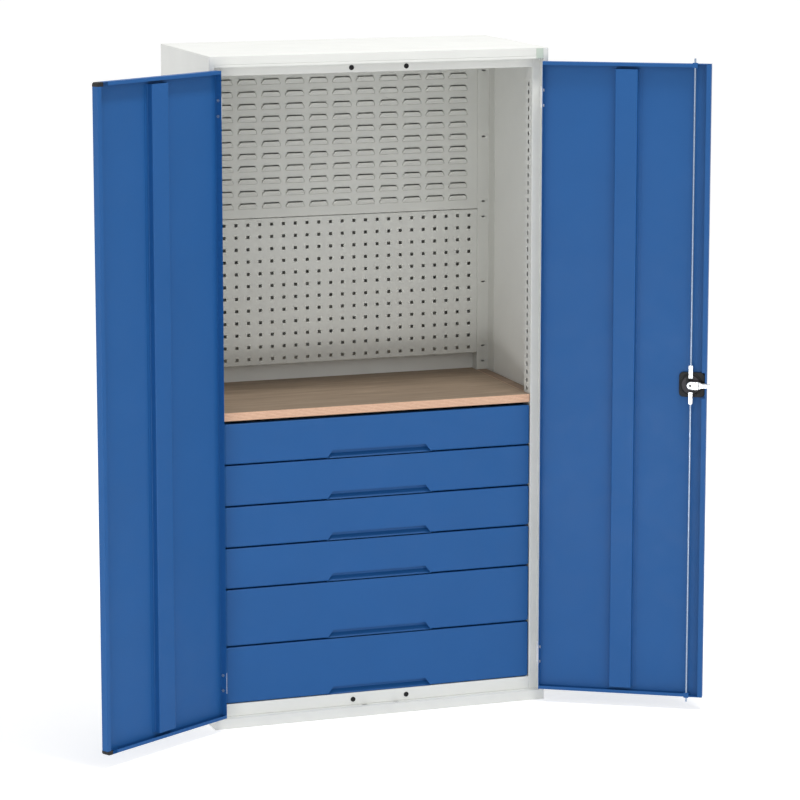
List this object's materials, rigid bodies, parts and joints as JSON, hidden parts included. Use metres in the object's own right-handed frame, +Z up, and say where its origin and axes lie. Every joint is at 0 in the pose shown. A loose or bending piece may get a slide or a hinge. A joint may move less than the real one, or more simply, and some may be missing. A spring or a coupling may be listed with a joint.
{
  "type": "tool cabinet",
  "caption": "Tall steel tool cabinet with hinged doors, drawers, plywood worktop, perforated and louvred back panels, and a rod lock.",
  "frame": {"origin": "middle of the cabinet's footprint, on the floor", "axes": "+Z up, doors face -Y, +X to the right seen from the front"},
  "size_m": [1.8754, 0.8198, 2],
  "materials": {
    "grey_paint": "light grey powder coat, fine texture",
    "blue_paint": "mid blue powder coat, satin",
    "drawer_paint": "light grey powder coat",
    "hinge_paint": "near-white powder coat",
    "zinc_steel": "bright zinc plate",
    "plywood": "sealed multiplex, laminated edge",
    "black_rubber": "matt",
    "black_plastic": "fine matt moulding",
    "plate_paint": "pale green-grey, satin"
  },
  "bodies": {
    "cabinet": {"back_panel": "grey_paint", "bottom_rail": "grey_paint", "cabinet_runners": "zinc_steel", "corner_plate": "plate_paint", "door_buffers": "black_rubber", "floor_pan": "grey_paint", "frame_hinge_leaves": "hinge_paint", "left_front_post": "grey_paint", "left_rear_post": "grey_paint", "left_side_panel": "grey_paint", "louvre_panel": "grey_paint", "perforated_panel": "grey_paint", "plinth": "grey_paint", "right_front_post": "grey_paint", "right_rear_post": "grey_paint", "right_side_panel": "grey_paint", "roof_cap": "grey_paint", "top_rail": "grey_paint", "worktop": "plywood", "worktop_brackets": "grey_paint"},
    "drawer_1": {"drawer_1_box": "drawer_paint", "drawer_1_front": "blue_paint", "drawer_1_runners": "zinc_steel"},
    "drawer_1_middle": {"drawer_1_middle_runners": "zinc_steel"},
    "drawer_2": {"drawer_2_box": "drawer_paint", "drawer_2_front": "blue_paint", "drawer_2_runners": "zinc_steel"},
    "drawer_2_middle": {"drawer_2_middle_runners": "zinc_steel"},
    "drawer_3": {"drawer_3_box": "drawer_paint", "drawer_3_front": "blue_paint", "drawer_3_runners": "zinc_steel"},
    "drawer_3_middle": {"drawer_3_middle_runners": "zinc_steel"},
    "drawer_4": {"drawer_4_box": "drawer_paint", "drawer_4_front": "blue_paint", "drawer_4_runners": "zinc_steel"},
    "drawer_4_middle": {"drawer_4_middle_runners": "zinc_steel"},
    "drawer_5": {"drawer_5_box": "drawer_paint", "drawer_5_front": "blue_paint", "drawer_5_runners": "zinc_steel"},
    "drawer_5_middle": {"drawer_5_middle_runners": "zinc_steel"},
    "drawer_6": {"drawer_6_box": "drawer_paint", "drawer_6_front": "blue_paint", "drawer_6_runners": "zinc_steel"},
    "drawer_6_middle": {"drawer_6_middle_runners": "zinc_steel"},
    "left_door": {"left_door_corner_caps": "black_plastic", "left_door_hinge_leaves": "hinge_paint", "left_door_hinge_nuts": "zinc_steel", "left_door_pan": "blue_paint", "left_door_stiffener": "blue_paint"},
    "lock": {"lock_cam": "zinc_steel", "lock_handle": "black_plastic"},
    "right_door": {"lock_plate": "black_plastic", "right_door_hinge_leaves": "hinge_paint", "right_door_hinge_nuts": "zinc_steel", "right_door_pan": "blue_paint", "right_door_stiffener": "blue_paint"},
    "lower_rod": {"lower_rod": "zinc_steel", "lower_rod_coupler": "zinc_steel"},
    "upper_rod": {"upper_rod": "zinc_steel", "upper_rod_coupler": "zinc_steel"}
  },
  "joints": [
    {"name": "right_door_hinge", "type": "hinge", "parent": "cabinet", "child": "right_door", "pos_m": [0.5065, -0.265, 1], "axis": [0, 0, 1], "range_deg": [-149, 31]},
    {"name": "left_door_hinge", "type": "hinge", "parent": "cabinet", "child": "left_door", "pos_m": [-0.5065, -0.265, 1], "axis": [0, 0, -1], "range_deg": [-149, 31]},
    {"name": "lock_turn", "type": "hinge", "parent": "right_door", "child": "lock", "pos_m": [0.88724, -0.51769, 1], "axis": [-0.515, -0.8572, 0], "range_deg": [0, 90]},
    {"name": "upper_rod_slide", "type": "slide", "parent": "right_door", "child": "upper_rod", "axis": [0, 0, -1], "range_m": [0, 0.012]},
    {"name": "lower_rod_slide", "type": "slide", "parent": "right_door", "child": "lower_rod", "axis": [0, 0, 1], "range_m": [0, 0.012]},
    {"name": "drawer_1_slide", "type": "slide", "parent": "cabinet", "child": "drawer_1", "axis": [0, -1, 0], "range_m": [0, 0.42]},
    {"name": "drawer_1_middle_slide", "type": "slide", "parent": "cabinet", "child": "drawer_1_middle", "axis": [0, -1, 0], "range_m": [0, 0.21]},
    {"name": "drawer_2_slide", "type": "slide", "parent": "cabinet", "child": "drawer_2", "axis": [0, -1, 0], "range_m": [0, 0.42]},
    {"name": "drawer_2_middle_slide", "type": "slide", "parent": "cabinet", "child": "drawer_2_middle", "axis": [0, -1, 0], "range_m": [0, 0.21]},
    {"name": "drawer_3_slide", "type": "slide", "parent": "cabinet", "child": "drawer_3", "axis": [0, -1, 0], "range_m": [0, 0.42]},
    {"name": "drawer_3_middle_slide", "type": "slide", "parent": "cabinet", "child": "drawer_3_middle", "axis": [0, -1, 0], "range_m": [0, 0.21]},
    {"name": "drawer_4_slide", "type": "slide", "parent": "cabinet", "child": "drawer_4", "axis": [0, -1, 0], "range_m": [0, 0.42]},
    {"name": "drawer_4_middle_slide", "type": "slide", "parent": "cabinet", "child": "drawer_4_middle", "axis": [0, -1, 0], "range_m": [0, 0.21]},
    {"name": "drawer_5_slide", "type": "slide", "parent": "cabinet", "child": "drawer_5", "axis": [0, -1, 0], "range_m": [0, 0.42]},
    {"name": "drawer_5_middle_slide", "type": "slide", "parent": "cabinet", "child": "drawer_5_middle", "axis": [0, -1, 0], "range_m": [0, 0.21]},
    {"name": "drawer_6_slide", "type": "slide", "parent": "cabinet", "child": "drawer_6", "axis": [0, -1, 0], "range_m": [0, 0.42]},
    {"name": "drawer_6_middle_slide", "type": "slide", "parent": "cabinet", "child": "drawer_6_middle", "axis": [0, -1, 0], "range_m": [0, 0.21]}
  ],
  "couplings": [
    {"joint": "upper_rod_slide", "follows": "lock_turn", "m_per_rad": 0.0076387},
    {"joint": "lower_rod_slide", "follows": "lock_turn", "m_per_rad": 0.0076387},
    {"joint": "drawer_1_middle_slide", "follows": "drawer_1_slide", "ratio": 0.5},
    {"joint": "drawer_2_middle_slide", "follows": "drawer_2_slide", "ratio": 0.5},
    {"joint": "drawer_3_middle_slide", "follows": "drawer_3_slide", "ratio": 0.5},
    {"joint": "drawer_4_middle_slide", "follows": "drawer_4_slide", "ratio": 0.5},
    {"joint": "drawer_5_middle_slide", "follows": "drawer_5_slide", "ratio": 0.5},
    {"joint": "drawer_6_middle_slide", "follows": "drawer_6_slide", "ratio": 0.5}
  ]
}
